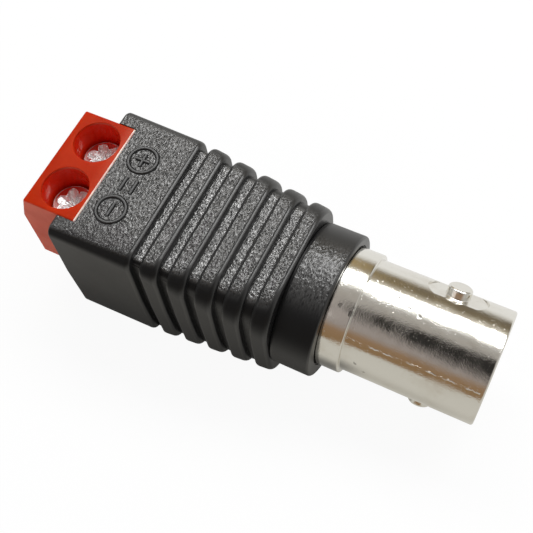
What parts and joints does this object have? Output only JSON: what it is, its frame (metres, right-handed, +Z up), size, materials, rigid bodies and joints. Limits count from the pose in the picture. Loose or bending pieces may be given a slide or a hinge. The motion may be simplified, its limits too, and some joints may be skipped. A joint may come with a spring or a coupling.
{
  "type": "bayonet jack to screw terminal adapter",
  "caption": "Straight adapter with a round bayonet jack at one end and a polarised screw terminal for bare wires at the other, in a ribbed black sleeve.",
  "frame": {"origin": "centre of the jack's mouth, in the plane of its rim", "axes": "+X along the jack's axis and out of its mouth, +Z up to the side with the screws and the pole marks"},
  "size_m": [0.0408, 0.0138, 0.0134],
  "materials": {
    "black_plastic": "black moulded plastic, leather grain on the top, smooth on the sides",
    "red_plastic": "red glossy nylon, a little dusty on the side",
    "nickel": "bright nickel plate on a casting with small pits",
    "white_insulator": "white, smooth",
    "gold_plate": "thin gold plate",
    "tinned_metal": "tinned brass",
    "zinc_plate": "bright zinc plate, slot edges burred by use"
  },
  "bodies": {
    "base": {"body_sleeve": "black_plastic", "terminal_housing": "red_plastic", "jack_barrel": "nickel", "jack_insulator": "white_insulator", "rear_bush": "white_insulator", "centre_contact": "gold_plate", "ground_tag": "tinned_metal", "centre_link": "tinned_metal", "ground_link": "tinned_metal", "clamp_box_plus": "tinned_metal", "clamp_box_minus": "tinned_metal"},
    "plate_plus": {"pressure_plate_plus": "tinned_metal"},
    "screw_plus": {"clamp_screw_plus": "zinc_plate"},
    "plate_minus": {"pressure_plate_minus": "tinned_metal"},
    "screw_minus": {"clamp_screw_minus": "zinc_plate"}
  },
  "joints": [
    {"name": "plate_plus_slide", "type": "slide", "parent": "base", "child": "plate_plus", "axis": [0, 0, -1], "range_m": [0, 0.00112]},
    {"name": "screw_plus_turn", "type": "hinge", "parent": "plate_plus", "child": "screw_plus", "pos_m": [-0.03708, 0.0025, 0.004], "axis": [0, 0, -1], "range_deg": [0, 900]},
    {"name": "plate_minus_slide", "type": "slide", "parent": "base", "child": "plate_minus", "axis": [0, 0, -1], "range_m": [0, 0.00112]},
    {"name": "screw_minus_turn", "type": "hinge", "parent": "plate_minus", "child": "screw_minus", "pos_m": [-0.03708, -0.0025, 0.004], "axis": [0, 0, -1], "range_deg": [0, 900]}
  ],
  "couplings": [
    {"joint": "screw_plus_turn", "follows": "plate_plus_slide", "rad_per_m": 13963},
    {"joint": "screw_minus_turn", "follows": "plate_minus_slide", "rad_per_m": 13963}
  ]
}
